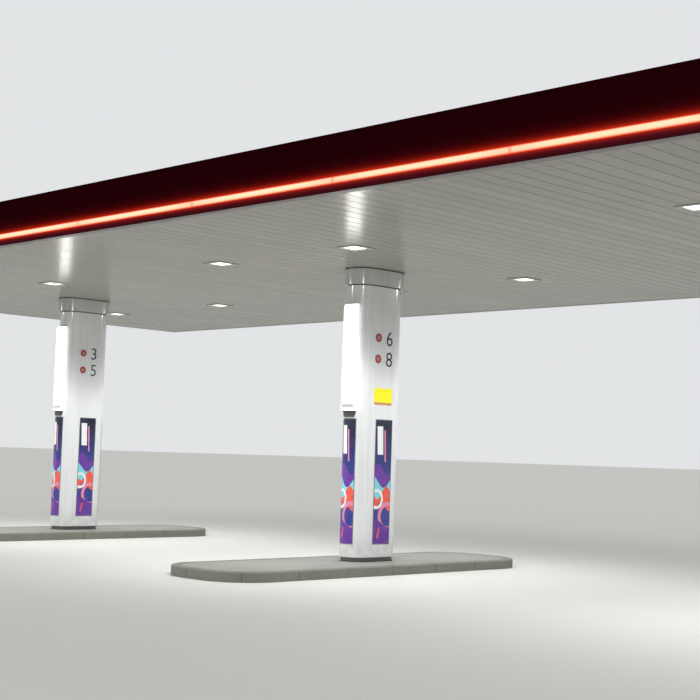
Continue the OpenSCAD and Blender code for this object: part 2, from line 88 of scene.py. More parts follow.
def addPiece(name, mesh, material):
    mesh.materials.append(material)
    piece = bpy.data.objects.new(name, mesh)
    scene.collection.objects.link(piece)
    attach(piece, "root")
    print("piece", name, len(mesh.polygons), "faces")
    return piece


def makePiece(name, patches, material, wrap=True, smooth=False, uvs=None):
    # wrap closes each row of a patch into a ring, and then the faces are turned outwards
    points, faces, start = [], [], 0
    for patch in patches:
        rows, across = patch.shape[:2]
        points.append(patch.reshape(-1, 3))
        faces.append(gridFaces(rows, across, wrap, start))
        start += rows * across
    points, faces = np.concatenate(points), np.concatenate(faces)
    mesh = bpy.data.meshes.new(name)
    mesh.from_pydata(points.tolist(), [], faces.tolist())
    if uvs is not None:
        layer = mesh.uv_layers.new(name="print")
        flat = np.concatenate([uv.reshape(-1, 2) for uv in uvs])
        layer.data.foreach_set("uv", flat[faces.ravel()].astype(np.float32).ravel())
    shape = bmesh.new()
    shape.from_mesh(mesh)
    bmesh.ops.remove_doubles(shape, verts=shape.verts, dist=1e-6)
    if wrap:
        bmesh.ops.recalc_face_normals(shape, faces=shape.faces)
    shape.to_mesh(mesh)
    shape.free()
    mesh.polygons.foreach_set("use_smooth", [smooth] * len(mesh.polygons))
    return addPiece(name, mesh, material)


def sweep(profile, origins, acrossAxes, upAxes, closed=False):
    # path point + profile's first number along the first axis + its second along the second;
    # an open path gets a closing point at each end
    grid = (origins[:, None, :] + profile[None, :, 0:1] * acrossAxes[:, None, :]
            + profile[None, :, 1:2] * upAxes[:, None, :])
    if closed:
        return np.concatenate([grid, grid[:1]])
    ends = [np.repeat(grid[i].mean(0)[None, None, :], grid.shape[1], 1) for i in (0, -1)]
    return np.concatenate([ends[0], grid, ends[1]])


def roundedBox(width, height, corner, perCorner=4):
    # a circle's points, pushed out to the four corners of a rectangle
    angles = np.concatenate([np.linspace(k * 90, k * 90 + 90, perCorner) for k in range(4)])
    sides = np.repeat(np.array([[1, 1], [-1, 1], [-1, -1], [1, -1]]), perCorner, 0)
    ring = np.stack([np.cos(np.radians(angles)), np.sin(np.radians(angles))], -1) * corner
    return ring + sides * (np.array([width, height]) / 2 - corner)


def dome(centre, axes, outline):
    # rings of (radius, height) pairs round the third axis, from the foot to the tip
    across, up, out = axes
    turns = np.linspace(0, tau, outline["sides"], endpoint=False)
    rings = np.array(outline["rings"])
    flat = np.cos(turns)[:, None] * across + np.sin(turns)[:, None] * up
    return centre + rings[:, 0, None, None] * flat[None] + rings[:, 1, None, None] * out


def plate(centre, axes, size, corner, bevel):
    # outlines of a rounded rectangle stacked from the back to the bevelled front
    across, up, out = axes
    width, height, thick = size
    full = roundedBox(width, height, corner)
    inner = roundedBox(width - 2 * bevel, height - 2 * bevel, max(corner - bevel, 1e-4))
    rows = [(full * 0, 0), (full, 0), (full, thick - bevel), (inner, thick), (inner * 0, thick)]
    return np.stack([centre + o[:, 0:1] * across + o[:, 1:2] * up + d * out for o, d in rows])


xAxis, yAxis, zAxis = np.eye(3)


# Camera: place in metres, angles in degrees, focal length and width in the photo's pixels
cameraSet = {"place": (14.5715, -15.758, 1.79), "yaw": 44.8276, "pitch": 4.42475,
             "roll": 1.84684, "focalPixels": 1354.36, "picturePixels": 700, "sensor": 36,
             "farEnd": 2000}


def makeCamera():
    # yaw turns from Y towards minus X, pitch lifts the view and roll tips its horizon
    yaw, pitch, roll = (radians(cameraSet[k]) for k in ("yaw", "pitch", "roll"))
    ahead = np.array([-sin(yaw) * cos(pitch), cos(yaw) * cos(pitch), sin(pitch)])
    level = np.array([cos(yaw), sin(yaw), 0])
    upright = np.cross(level, ahead)
    right = cos(roll) * level + sin(roll) * upright
    up = -sin(roll) * level + cos(roll) * upright
    data = bpy.data.cameras.new("camera")
    data.sensor_width = cameraSet["sensor"]
    data.lens = cameraSet["focalPixels"] * cameraSet["sensor"] / cameraSet["picturePixels"]
    data.clip_end = cameraSet["farEnd"]
    camera = bpy.data.objects.new("camera", data)
    camera.matrix_world = Matrix([[*row, p] for row, p in
                                  zip(np.stack([right, up, -ahead], -1), cameraSet["place"])]
                                 + [[0, 0, 0, 1]])
    scene.collection.objects.link(camera)
    scene.camera = camera


makeCamera()


# Materials
def addNode(tree, kind, inputs=None, **settings):
    node = tree.nodes.new(kind)
    for key, value in settings.items():
        setattr(node, key, value)
    for key, value in (inputs or {}).items():
        if isinstance(value, bpy.types.NodeSocket):
            tree.links.new(value, node.inputs[key])
        else:
            node.inputs[key].default_value = value
    return node


def maths(tree, operation, *values):
    return addNode(tree, "ShaderNodeMath", dict(enumerate(values)), operation=operation).outputs[0]


def plus(tree, first, second):
    return maths(tree, "ADD", first, second)


def minus(tree, first, second):
    return maths(tree, "SUBTRACT", first, second)


def times(tree, first, second):
    return maths(tree, "MULTIPLY", first, second)


def ratio(tree, first, second):
    return maths(tree, "DIVIDE", first, second)


def ramp(tree, value, low, high, toLow=0.0, toHigh=1.0):
    # a slope with soft ends between two values
    return addNode(tree, "ShaderNodeMapRange", {"Value": value, "From Min": low, "From Max": high,
                   "To Min": toLow, "To Max": toHigh}, interpolation_type="SMOOTHSTEP").outputs["Result"]


def partsOf(tree, place):
    # the x, y and z of a place
    return addNode(tree, "ShaderNodeSeparateXYZ", {0: place}).outputs


def noise(tree, place, scale, detail=2.0, roughness=0.5):
    return addNode(tree, "ShaderNodeTexNoise", {"Vector": place, "Scale": scale, "Detail": detail,
                   "Roughness": roughness}).outputs[0]


def mixColour(tree, share, first, second):
    return addNode(tree, "ShaderNodeMix", {0: share, 6: first, 7: second}, data_type="RGBA").outputs[2]


def rgb(red, green, blue):
    # display value 0..255 to the linear value that a shader takes
    display = np.array([red, green, blue]) / 255
    linear = np.where(display <= 0.04045, display / 12.92, ((display + 0.055) / 1.055) ** 2.4)
    return (*linear.tolist(), 1.0)


def shade(colour, share):
    # a colour made darker by a share
    return [value * (1 - share) for value in colour[:3]] + [1.0]


def newGroup(name, inputs, outputs):
    # an effect that takes a place and some numbers, and gives some numbers
    group = bpy.data.node_groups.new(name, "ShaderNodeTree")
    group.interface.new_socket("Place", in_out="INPUT", socket_type="NodeSocketVector")
    for label, value in inputs.items():
        socket = group.interface.new_socket(label, in_out="INPUT", socket_type="NodeSocketFloat")
        socket.default_value = value
    for label in outputs:
        group.interface.new_socket(label, in_out="OUTPUT", socket_type="NodeSocketFloat")
    return group, group.nodes.new("NodeGroupInput").outputs, group.nodes.new("NodeGroupOutput").inputs


def useGroup(tree, group, **values):
    return addNode(tree, "ShaderNodeGroup", values, node_tree=group).outputs


def buildPatchyDirt():
    # soft-edged patches where a noise is above the level that the cover sets
    group, given, out = newGroup("patchyDirt", {"Size": 0.5, "Cover": 0.5, "Soft": 0.2}, ("Mask",))
    cloud = noise(group, given["Place"], ratio(group, 1.0, given["Size"]), 6.0, 0.6)
    edge = minus(group, 1.0, given["Cover"])
    mask = ramp(group, cloud, minus(group, edge, given["Soft"]), plus(group, edge, given["Soft"]))
    group.links.new(mask, out["Mask"])
    return group


def buildRainStreaks():
    # a noise drawn out along Z, so that it runs down a wall
    group, given, out = newGroup("rainStreaks", {"Width": 0.1, "Length": 1.0}, ("Mask",))
    parts = partsOf(group, given["Place"])
    stretched = addNode(group, "ShaderNodeCombineXYZ", {
        0: ratio(group, parts[0], given["Width"]), 1: ratio(group, parts[1], given["Width"]),
        2: ratio(group, parts[2], given["Length"])}).outputs[0]
    group.links.new(ramp(group, noise(group, stretched, 1.0, 4.0, 0.55), 0.42, 0.72), out["Mask"])
    return group


def buildPaintSkin():
    # a fine grain as the height and a wide wave as the spread
    group, given, out = newGroup("paintSkin", {"Grain": 0.004, "Wave": 0.4}, ("Height", "Spread"))
    fine = noise(group, given["Place"], ratio(group, 1.0, given["Grain"]))
    wide = noise(group, given["Place"], ratio(group, 1.0, given["Wave"]), 3.0)
    group.links.new(fine, out["Height"])
    group.links.new(wide, out["Spread"])
    return group


def buildBoardRows():
    # height of a slight crown across each board, and one chance value for each board
    group, given, out = newGroup("boardRows", {"Start": 0.0, "Pitch": 0.25}, ("Crown", "Chance"))
    along = partsOf(group, given["Place"])[0]
    count = ratio(group, minus(group, along, given["Start"]), given["Pitch"])
    crown = maths(group, "SINE", times(group, maths(group, "FRACT", count), pi))
    chance = addNode(group, "ShaderNodeTexWhiteNoise", {"W": maths(group, "FLOOR", count)},
                     noise_dimensions="1D").outputs["Value"]
    group.links.new(crown, out["Crown"])
    group.links.new(chance, out["Chance"])
    return group


def buildStripGlow():
    # the mask of a painted glow: near 1 at the light strip, fading above and below it
    group, given, out = newGroup("paintedStripGlow", {"Bottom": 0.0, "Top": 0.1, "Reach": 0.1}, ("Mask",))
    level = partsOf(group, given["Place"])[2]
    above, below = minus(group, level, given["Top"]), minus(group, given["Bottom"], level)
    away = maths(group, "MAXIMUM", maths(group, "MAXIMUM", above, below), 0.0)
    share = ratio(group, away, given["Reach"])
    group.links.new(maths(group, "EXPONENT", times(group, share, -3.0)), out["Mask"])
    return group


patchyDirt = buildPatchyDirt()
rainStreaks = buildRainStreaks()
paintSkin = buildPaintSkin()
boardRows = buildBoardRows()
paintedStripGlow = buildStripGlow()
print("shared effects built")


def dirtMask(tree, place, size, cover, soft):
    return useGroup(tree, patchyDirt, Place=place, Size=size, Cover=cover, Soft=soft)["Mask"]


def startMaterial(name, finish):
    material = bpy.data.materials.new(name)
    material.use_nodes = True
    tree = material.node_tree
    shader = tree.nodes["Principled BSDF"]
    for key, value in finish.items():
        shader.inputs[key].default_value = value
    place = addNode(tree, "ShaderNodeTexCoord").outputs["Object"]
    return material, tree, shader, place


def addBump(tree, shader, height, depth):
    bump = addNode(tree, "ShaderNodeBump", {"Height": height, "Distance": depth, "Strength": 1.0})
    tree.links.new(bump.outputs[0], shader.inputs["Normal"])


# what every paint has, unless its own look says otherwise
paintSet = {"dust": rgb(140, 136, 126), "metallic": 0.0, "gloss": 0.4, "patch": 0.4, "dirt": 0.2,
            "streaks": 0.1, "grain": 0.006, "skinDepth": 0.0002, "cover": 0.45, "soft": 0.3,
            "streakWidth": 0.06, "streakLength": 1.4, "wave": 0.5, "spread": 0.08}


def paintedMetal(name, own):
    # paint with a slight skin, patches of dust and streaks where rain runs down
    look = {**paintSet, **own}
    material, tree, shader, place = startMaterial(name, {
        "Metallic": look["metallic"], "Specular IOR Level": look["gloss"]})
    dirt = dirtMask(tree, place, look["patch"], look["cover"], look["soft"])
    streak = useGroup(tree, rainStreaks, Place=place, Width=look["streakWidth"],
                      Length=look["streakLength"])["Mask"]
    skin = useGroup(tree, paintSkin, Place=place, Grain=look["grain"], Wave=look["wave"])
    colour = mixColour(tree, times(tree, dirt, look["dirt"]), look["colour"], look["dust"])
    colour = mixColour(tree, times(tree, streak, look["streaks"]), colour, look["dust"])
    tree.links.new(colour, shader.inputs["Base Color"])
    rough = plus(tree, look["rough"] - look["spread"] / 2, times(tree, skin["Spread"], look["spread"]))
    rough = plus(tree, rough, times(tree, dirt, look["dirt"] / 2))
    tree.links.new(rough, shader.inputs["Roughness"])
    addBump(tree, shader, skin["Height"], look["skinDepth"])
    return material, tree, shader, place


def plainPaint(name, colour, rough, **own):
    return paintedMetal(name, {"colour": colour, "rough": rough, **own})[0]


# the fascia's red is painted nearly black: painted shade, since hardly any light but the strip's reaches
# it
fasciaLook = {"colour": rgb(36, 2, 7), "dust": rgb(52, 16, 18), "rough": 0.5, "gloss": 0.0,
              "patch": 1.6, "dirt": 0.12, "streaks": 0.1}
chinColour = rgb(62, 20, 30)
# the painted glow of the light strip on the red paint: colours near and far, strength, and reach on the
# fascia and on the chin
paintedGlowLook = {"near": rgb(214, 48, 18), "far": rgb(112, 6, 8), "strength": 0.85, "reach": 0.15,
            "chinReach": 0.075}
black = (0, 0, 0, 1)


def makePaintWithPaintedGlow(name, look, reach):
    # red paint with a painted glow, given as emission, that fades away from the light strip beside it
    material, tree, shader, place = paintedMetal(name, look)
    paintedGlow = useGroup(tree, paintedStripGlow, Place=place, Bottom=stripLow[2], Top=stripHigh[2],
                    Reach=reach)["Mask"]
    colour = mixColour(tree, paintedGlow, paintedGlowLook["far"], paintedGlowLook["near"])
    shown = mixColour(tree, times(tree, paintedGlow, paintedGlowLook["strength"]), black, colour)
    tree.links.new(shown, shader.inputs["Emission Color"])
    shader.inputs["Emission Strength"].default_value = 1.0
    return material


# a cover's colours, its length and the places of its seams, then how its edge and seams fade
stripLook = {"core": rgb(255, 218, 176), "rim": rgb(232, 78, 38), "power": 0.95, "rough": 0.35,
             "coverLength": 2.5, "firstCover": 1.31, "cornerLong": 12.6545, "cornerEnds": 5.322,
             "rimStart": 0.4, "cloudScale": 1.3, "cloudShare": 0.08, "unlit": 0.7,
             "seamWidth": 0.04, "seamTone": 0.5, "fadeWidth": 0.6, "fadeTone": 0.8}


def makeStripCover(name, alongLong):
    # cream in the middle of its height, orange-red at its rims and towards each seam
    look = stripLook
    material, tree, shader, place = startMaterial(name, {"Roughness": look["rough"],
                                                         "Emission Strength": look["power"]})
    parts = partsOf(tree, place)
    middle, half = (stripLow[2] + stripHigh[2]) / 2, (stripHigh[2] - stripLow[2]) / 2
    off = ratio(tree, maths(tree, "ABSOLUTE", minus(tree, parts[2], middle)), half)
    run, side = (parts[0], parts[1]) if alongLong else (parts[1], parts[0])
    handed = times(tree, side, 1.0 if alongLong else -1.0)
    turned = times(tree, run, maths(tree, "SIGN", handed))
    corner = look["cornerLong"] if alongLong else look["cornerEnds"]
    count = ratio(tree, plus(tree, turned, corner - look["firstCover"]), look["coverLength"])
    part = maths(tree, "FRACT", count)
    seam = times(tree, maths(tree, "MINIMUM", part, minus(tree, 1.0, part)), look["coverLength"])
    lit = times(tree, ramp(tree, seam, 0.0, look["seamWidth"], look["seamTone"], 1.0),
                ramp(tree, seam, 0.0, look["fadeWidth"], look["fadeTone"], 1.0))
    cloud = noise(tree, place, look["cloudScale"])
    edge = plus(tree, off, times(tree, minus(tree, cloud, 0.5), look["cloudShare"]))
    colour = mixColour(tree, ramp(tree, edge, look["rimStart"], 1.0), look["core"], look["rim"])
    colour = mixColour(tree, lit, look["rim"], colour)
    tree.links.new(colour, shader.inputs["Emission Color"])
    tree.links.new(mixColour(tree, look["unlit"], colour, black), shader.inputs["Base Color"])
    return material


# patches here and below are a size, a cover and a softness; rough is that of the smoothest board
soffitLook = {"colour": rgb(163, 163, 152), "dust": rgb(132, 128, 112), "boardWidth": 0.25, "tone": 0.1,
              "gloss": 0.42, "rough": 0.15, "roughTone": 0.05, "patches": (2.2, 0.4, 0.35), "dirt": 0.18,
              "dirtRough": 0.04, "grain": 0.01, "wave": 1.2, "waveShare": 0.15, "crown": 0.0009}


def makeSoffitPaint(bay):
    # each board is its own strip: slightly crowned, with its own tone and gloss
    look = soffitLook
    low, high = boxOf("soffit_" + bay)
    width = high[0] - low[0]
    pitch = width / round(width / look["boardWidth"])
    material, tree, shader, place = startMaterial("soffitPaint_" + bay,
                                                  {"Specular IOR Level": look["gloss"]})
    rows = useGroup(tree, boardRows, Place=place, Start=float(low[0]), Pitch=float(pitch))
    dirt = dirtMask(tree, place, *look["patches"])
    skin = useGroup(tree, paintSkin, Place=place, Grain=look["grain"], Wave=look["wave"])
    colour = mixColour(tree, rows["Chance"], look["colour"], shade(look["colour"], look["tone"]))
    colour = mixColour(tree, times(tree, dirt, look["dirt"]), colour, look["dust"])
    tree.links.new(colour, shader.inputs["Base Color"])
    rough = plus(tree, look["rough"], times(tree, rows["Chance"], look["roughTone"]))
    rough = plus(tree, rough, times(tree, dirt, look["dirtRough"]))
    tree.links.new(rough, shader.inputs["Roughness"])
    height = plus(tree, rows["Crown"], times(tree, skin["Spread"], look["waveShare"]))
    addBump(tree, shader, height, look["crown"])
    return material


claddingLook = {"colour": rgb(236, 239, 241), "dust": rgb(180, 178, 170), "rough": 0.17, "gloss": 0.5,
                "metallic": 0.12, "patch": 0.7, "dirt": 0.06, "streaks": 0.14, "grain": 0.003,
                "skinDepth": 0.00008}
grimeLook = {"patches": (0.12, 0.5, 0.25), "height": 0.45, "share": 0.5}
# the collars are painted a little darker than the shafts: painted shade at the columns' tops under the
# soffit
shadedCollarColour = rgb(206, 210, 208)
plinthLook = {"colour": rgb(100, 103, 105), "dust": rgb(128, 124, 115), "rough": 0.5, "patch": 0.15,
              "dirt": 0.5, "streaks": 0.2}


def makeCladding(name, look):
    # satin metal, greyer near the ground where spray reaches it
    material, tree, shader, place = paintedMetal(name, look)
    grime = dirtMask(tree, place, *grimeLook["patches"])
    low = ramp(tree, partsOf(tree, place)[2], shaftBottom, shaftBottom + grimeLook["height"],
               grimeLook["share"], 0.0)
    colour = shader.inputs["Base Color"].links[0].from_socket
    colour = mixColour(tree, times(tree, grime, low), colour, look["dust"])
    tree.links.new(colour, shader.inputs["Base Color"])
    return material


coverLook = {"colour": rgb(255, 254, 248), "power": 3.0, "rough": 0.3, "scale": 3.0, "fade": 0.06}
bandLook = {"colour": rgb(176, 179, 176), "power": 0.58, "rough": 0.3, "scale": 6.0, "fade": 0.1}


def makeLamp(name, look):
    # opal cover that glows evenly, slightly weaker in patches
    material, tree, shader, place = startMaterial(name, {"Roughness": look["rough"],
                                                         "Emission Strength": look["power"]})
    shown = mixColour(tree, noise(tree, place, look["scale"]), look["colour"],
                      shade(look["colour"], look["fade"]))
    tree.links.new(shown, shader.inputs["Emission Color"])
    tree.links.new(shown, shader.inputs["Base Color"])
    return material


housingLook = {"colour": rgb(208, 210, 210), "bracket": rgb(92, 94, 94), "edge": 0.002, "rough": 0.4,
               "dirt": 0.1}


def makeHousing():
    # pale body over a darker bracket
    material, tree, shader, place = paintedMetal("lampHousing", housingLook)
    foot = boxOf("light_box_covers")[0][2]
    body = ramp(tree, partsOf(tree, place)[2], foot - 2 * housingLook["edge"], foot - housingLook["edge"])
    colour = shader.inputs["Base Color"].links[0].from_socket
    tree.links.new(mixColour(tree, body, housingLook["bracket"], colour), shader.inputs["Base Color"])
    return material


concreteLook = {"top": rgb(165, 167, 161), "kerb": rgb(142, 143, 134), "stain": rgb(118, 115, 106),
                "gloss": 0.3, "grain": 0.004, "wave": 0.05, "depth": 0.0012, "clouds": (0.9, 0.5, 0.35),
                "stains": (0.28, 0.3, 0.12), "stainShare": 0.35, "sandShare": 0.25, "darker": 0.18,
                "rough": (0.72, 0.92), "broomLines": 28.0, "broomDepth": 0.8}


def makeConcrete(name, colour, brushed):
    # fine sandy grain, wide clouds, dark stains and, on the top, the lines of a broom
    look = concreteLook
    material, tree, shader, place = startMaterial(name, {"Specular IOR Level": look["gloss"]})
    sand = useGroup(tree, paintSkin, Place=place, Grain=look["grain"], Wave=look["wave"])
    darker = shade(colour, look["darker"])
    shown = mixColour(tree, dirtMask(tree, place, *look["clouds"]), colour, darker)
    stain = times(tree, dirtMask(tree, place, *look["stains"]), look["stainShare"])
    shown = mixColour(tree, stain, shown, look["stain"])
    shown = mixColour(tree, times(tree, sand["Height"], look["sandShare"]), shown, darker)
    tree.links.new(shown, shader.inputs["Base Color"])
    tree.links.new(ramp(tree, sand["Spread"], 0.3, 0.7, *look["rough"]), shader.inputs["Roughness"])
    height = sand["Height"]
    if brushed:
        broom = addNode(tree, "ShaderNodeTexWave", {"Vector": place, "Scale": look["broomLines"],
                        "Distortion": 2.5, "Detail": 2.0}, bands_direction="Y").outputs["Fac"]
        height = plus(tree, height, times(tree, broom, look["broomDepth"]))
    addBump(tree, shader, height, look["depth"])
    return material


glassLook = {"bright": rgb(255, 255, 248), "dim": rgb(244, 246, 236), "power": 2.2, "rough": 0.3,
             "prism": 0.02, "depth": 0.001}


def makeGlass():
    # frosted glass of a lit lamp: sine of x times sine of y gives small prisms in squares
    material, tree, shader, place = startMaterial("downlightGlass", {
        "Roughness": glassLook["rough"], "Emission Strength": glassLook["power"]})
    waves = [maths(tree, "SINE", times(tree, part, tau / glassLook["prism"]))
             for part in partsOf(tree, place)[:2]]
    prisms = times(tree, *waves)
    shown = mixColour(tree, ramp(tree, prisms, -1.0, 1.0), glassLook["bright"], glassLook["dim"])
    tree.links.new(shown, shader.inputs["Emission Color"])
    tree.links.new(shown, shader.inputs["Base Color"])
    addBump(tree, shader, prisms, glassLook["depth"])
    return material


materials = {
    "concrete_kerb": makeConcrete("concreteKerb", concreteLook["kerb"], False),
    "concrete_top": makeConcrete("concreteTop", concreteLook["top"], True),
    "steel_frame": plainPaint("primerSteel", rgb(112, 116, 118), 0.55),
    "plinth_grey": paintedMetal("plinthPaint", plinthLook)[0],
    "silver_cladding": makeCladding("silverCladding", claddingLook),
    "lamp_housing": makeHousing(),
    "lamp_cover": makeLamp("lampCover", coverLook),
    "yellow_plate": plainPaint("yellowPlate", rgb(255, 246, 24), 0.3, dirt=0.06, streaks=0.05),
    "soffit_trim": plainPaint("soffitTrim", rgb(132, 126, 128), 0.35, dirt=0.15),
    "downlight_rim": plainPaint("downlightRim", rgb(176, 176, 168), 0.35, dirt=0.08),
    "downlight_glass": makeGlass(),
    "red_fascia": makePaintWithPaintedGlow("fasciaPaint", fasciaLook, paintedGlowLook["reach"]),
    "roof_steel": plainPaint("roofSteel", rgb(150, 156, 160), 0.45, patch=1.2, dirt=0.4, streaks=0.3,
                             metallic=0.4),
}
chinPaint = makePaintWithPaintedGlow("chinPaint", {**fasciaLook, "colour": chinColour}, paintedGlowLook["chinReach"])
# the cladding again, in the collars' darker colour as painted shade
shadedCollarPaint = makeCladding("shadedCollarPaint", {**claddingLook, "colour": shadedCollarColour})
stripLongCover = makeStripCover("stripCoverLong", True)
stripEndCover = makeStripCover("stripCoverEnds", False)
screwSteel = plainPaint("screwSteel", rgb(176, 178, 178), 0.3, metallic=0.8, dirt=0.1)
jointMortar = makeConcrete("jointMortar", rgb(92, 91, 87), False)
darkVinyl = plainPaint("darkVinyl", rgb(38, 40, 42), 0.45, dirt=0.08, streaks=0.0)
paleVinyl = plainPaint("paleVinyl", rgb(176, 146, 142), 0.4, dirt=0.08, streaks=0.0)
redMark = plainPaint("redMark", rgb(186, 62, 58), 0.4, dirt=0.08, streaks=0.0)
orangeStrip = plainPaint("orangeStrip", rgb(214, 150, 84), 0.4, dirt=0.1, streaks=0.05)
# dark sealant round the plinths' feet; the same dark paint makes the painted shade in and over the
# collars' gaps
sealant = plainPaint("darkSealantAndShade", rgb(60, 60, 58), 0.7, dirt=0.2, streaks=0.0)
bandGrey = makeLamp("bandGrey", bandLook)
print("materials made")


def dressNodes():
    slots = {part["node"]: part["material_slot"] for part in frame["record"]["subparts"]}
    special = {"strip_tray_long": chinPaint, "strip_tray_ends": chinPaint,
               "column_collars": shadedCollarPaint,
               "light_strip_long": stripLongCover, "light_strip_ends": stripEndCover,
               **{"soffit_" + bay: makeSoffitPaint(bay) for bay in bays}}
    for name, node in nodes.items():
        material = special.get(name) or materials.get(slots[name]) or materials["steel_frame"]
        node.data.materials.clear()
        node.data.materials.append(material)


dressNodes()
print("nodes dressed")


# Posters: printed sheets on the flat sides and round the noses
posterSet = {"proud": 0.0008, "thickness": 0.0006, "margin": 0.012, "steps": 24, "width": 0.38,
             "shift": 0.04, "noseAngle": 33, "patches": (0.4, 0.45, 0.3), "dirt": 0.06,
             "rough": (0.26, 0.36)}
posterInk = {"night": rgb(14, 22, 52), "indigo": rgb(52, 62, 148), "violet": rgb(104, 52, 160),
             "cyan": rgb(126, 214, 226), "coral": rgb(238, 96, 78), "pink": rgb(232, 140, 168),
             "paper": rgb(240, 242, 244), "dust": rgb(180, 178, 172)}
# the shapes over the night sky from back to front, with the numbers their functions take
posterShapes = (
    ("upright", (0.14, 0.5, 0.72, 0.95, 0.25), "paper"),
    ("upright", (0.60, 0.68, 0.66, 0.92, 0.25), "pink"),
    ("hill", (0.60, 0.045, 5.2, 0.4), "violet"), ("hill", (0.50, 0.05, 4.4, 2.2), "cyan"),
    ("hill", (0.41, 0.05, 5.6, 3.6), "coral"), ("hill", (0.30, 0.04, 6.0, 5.2), "indigo"),
    ("ring", (0.85, 0.22, 0.10, 0.018), "pink"), ("ring", (0.15, 0.36, 0.07, 0.012), "paper"),
    ("hill", (0.16, 0.03, 4.0, 1.0), "violet"), ("upright", (0.2, 0.3, 0.04, 0.13, -1.2), "coral"))


def makePosterPrint():
    # flat shapes over one another: a night sky, five wavy hills, two rings and three upright bars
    material, tree, shader, place = startMaterial("posterPrint", {"Specular IOR Level": 0.5})
    uv = addNode(tree, "ShaderNodeUVMap", uv_map="print").outputs[0]
    u, v = partsOf(tree, uv)[:2]

    def within(value, low, high, soft):
        return times(tree, ramp(tree, value, low - soft, low + soft),
                     ramp(tree, value, high - soft, high + soft, 1.0, 0.0))

    def hill(height, size, turns, start):
        wave = maths(tree, "SINE", plus(tree, times(tree, u, turns), start))
        line = plus(tree, height, times(tree, wave, size))
        return ramp(tree, minus(tree, line, v), -0.002, 0.002)

    def ring(centreU, centreV, radius, thick):
        across, rise = times(tree, minus(tree, u, centreU), 0.2), minus(tree, v, centreV)
        far = maths(tree, "SQRT", plus(tree, times(tree, across, across), times(tree, rise, rise)))
        off = maths(tree, "ABSOLUTE", minus(tree, far, radius))
        return ramp(tree, off, thick - 0.002, thick + 0.002, 1.0, 0.0)

    def upright(left, right, foot, head, lean):
        slid = plus(tree, u, times(tree, minus(tree, v, foot), lean))
        return times(tree, within(slid, left, right, 0.01), within(v, foot, head, 0.002))

    draw = {"hill": hill, "ring": ring, "upright": upright}
    ink = posterInk
    colour = mixColour(tree, ramp(tree, v, 0.98, 0.55, 0.0, 0.75), ink["night"], ink["indigo"])
    for kind, numbers, inkName in posterShapes:
        colour = mixColour(tree, draw[kind](*numbers), colour, ink[inkName])
    fade = dirtMask(tree, place, *posterSet["patches"])
    colour = mixColour(tree, times(tree, fade, posterSet["dirt"]), colour, ink["dust"])
    tree.links.new(colour, shader.inputs["Base Color"])
    tree.links.new(ramp(tree, fade, 0.0, 1.0, *posterSet["rough"]), shader.inputs["Roughness"])
    return material


def posterPatches():
    # flat sheets: width by height; nose sheets: angle round the nose by height
    low, high = boxOf("poster_panels")
    foot, head = low[2] + posterSet["margin"], high[2] - posterSet["margin"]
    grid = np.stack(np.meshgrid(np.linspace(0, 1, posterSet["steps"]), np.linspace(0, 1, 3)), -1)
    z = foot + grid[..., 1] * (head - foot)
    out = high[0] - columns[2][0] + posterSet["proud"]
    halfWidth = posterSet["width"] / 2 - posterSet["margin"]
    halfAngle = radians(posterSet["noseAngle"]) - posterSet["margin"] / noseRadius
    patches = []
    for centre in columns:
        for side in (1, -1):
            share = side * (grid[..., 0] - 0.5) * 2
            y = centre[1] + share * halfWidth + side * posterSet["shift"]
            patches.append(np.stack([y * 0 + centre[0] + side * out, y, z], -1))
            x = centre[0] + out * np.sin(share * halfAngle)
            y = centre[1] - side * (noseCentre + out * np.cos(share * halfAngle))
            patches.append(np.stack([x, y, z], -1))
    return patches, [grid] * len(patches)


patches, uvs = posterPatches()
posters = makePiece("posterPrints", patches, makePosterPrint(), wrap=False, uvs=uvs)
thick = posters.modifiers.new("sheet", "SOLIDIFY")
thick.thickness = posterSet["thickness"]
thick.offset = -1


# Numbers and round marks on the flat sides
numberSet = {"size": 0.33, "bold": -0.001, "depth": 0.0006, "gap": 0.0002, "sideways": 0.112,
             "heights": (3.63, 3.3), "left": (("1", "2"), ("3", "5")),
             "middle": (("4", "7"), ("6", "8")), "right": (("9", "10"), ("11", "12"))}
markSet = {"heights": (3.645, 3.309), "radius": 0.07, "sideways": -0.138, "depth": 0.002, "sides": 20}


def flatSide(centre, side):
    # axes of a column's flat side: across to the reader's right, up, and outwards
    return (np.array([centre[0] + side * noseRadius, centre[1], 0.0]),
            (yAxis * side, zAxis, xAxis * side))


def numberMesh(word):
    # the figure as a mesh; its text object goes again
    data = bpy.data.curves.new("number", "FONT")
    data.body, data.size, data.offset = word, numberSet["size"], numberSet["bold"]
    data.extrude, data.align_x, data.align_y = numberSet["depth"], "CENTER", "CENTER"
    data.resolution_u = 6
    text = bpy.data.objects.new("number", data)
    scene.collection.objects.link(text)
    graph = bpy.context.evaluated_depsgraph_get()
    mesh = bpy.data.meshes.new_from_object(text.evaluated_get(graph))
    bpy.data.objects.remove(text)
    return mesh


def makeNumbers():
    # each figure's points along its side's axes, all of them in one mesh
    points, faces, start = [], [], 0
    for bay, centre in zip(bays, columns):
        for side, words in zip((-1, 1), numberSet[bay]):
            origin, axes = flatSide(centre, side)
            for word, height in zip(words, numberSet["heights"]):
                mesh = numberMesh(word)
                shift = np.array([numberSet["sideways"], height, numberSet["depth"] + numberSet["gap"]])
                points.append(origin + (meshPoints(mesh) + shift) @ np.array(axes))
                corners = np.zeros(len(mesh.loops), np.int32)
                mesh.loops.foreach_get("vertex_index", corners)
                starts = np.zeros(len(mesh.polygons), np.int32)
                mesh.polygons.foreach_get("loop_start", starts)
                faces += [face.tolist() for face in np.split(corners + start, starts[1:])]
                start += len(mesh.vertices)
                bpy.data.meshes.remove(mesh)
    mesh = bpy.data.meshes.new("columnNumbers")
    mesh.from_pydata(np.concatenate(points).tolist(), [], faces)
    addPiece("columnNumbers", mesh, darkVinyl)


